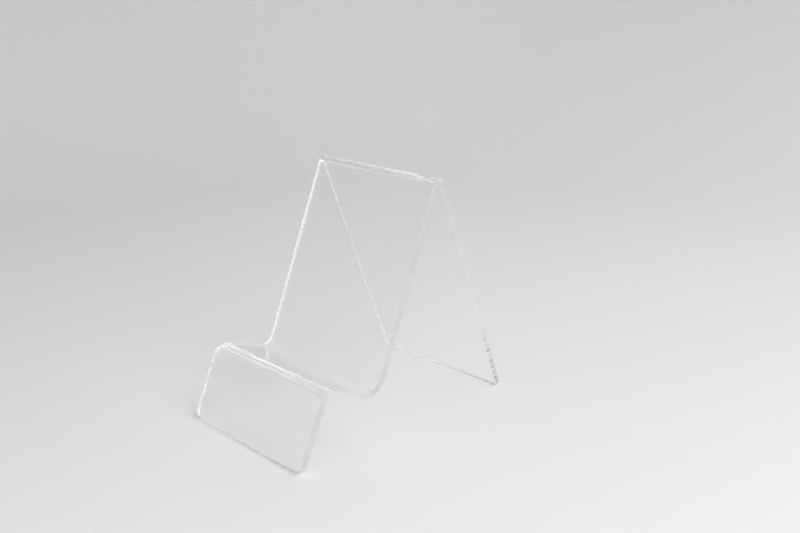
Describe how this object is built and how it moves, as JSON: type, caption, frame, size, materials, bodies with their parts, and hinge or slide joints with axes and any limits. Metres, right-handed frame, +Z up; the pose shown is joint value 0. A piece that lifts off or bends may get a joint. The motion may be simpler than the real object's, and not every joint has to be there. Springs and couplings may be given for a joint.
{
  "type": "phone stand",
  "caption": "Desk stand for a phone: a clear acrylic strip bent into a front leg, a sloping shelf, a leaning back rest and a rear leg.",
  "frame": {"origin": "on the desk, under the middle of the stand's bounding box", "axes": "+X across the width, +Y to the back, from the front leg towards the rear leg, +Z up"},
  "size_m": [0.07, 0.1156, 0.1013],
  "materials": {
    "clear_acrylic": "clear cast acrylic, glossy faces, saw-cut edges polished to a slight ripple"
  },
  "bodies": {
    "root": {"bent_acrylic_sheet": "clear_acrylic"}
  },
  "joints": []
}
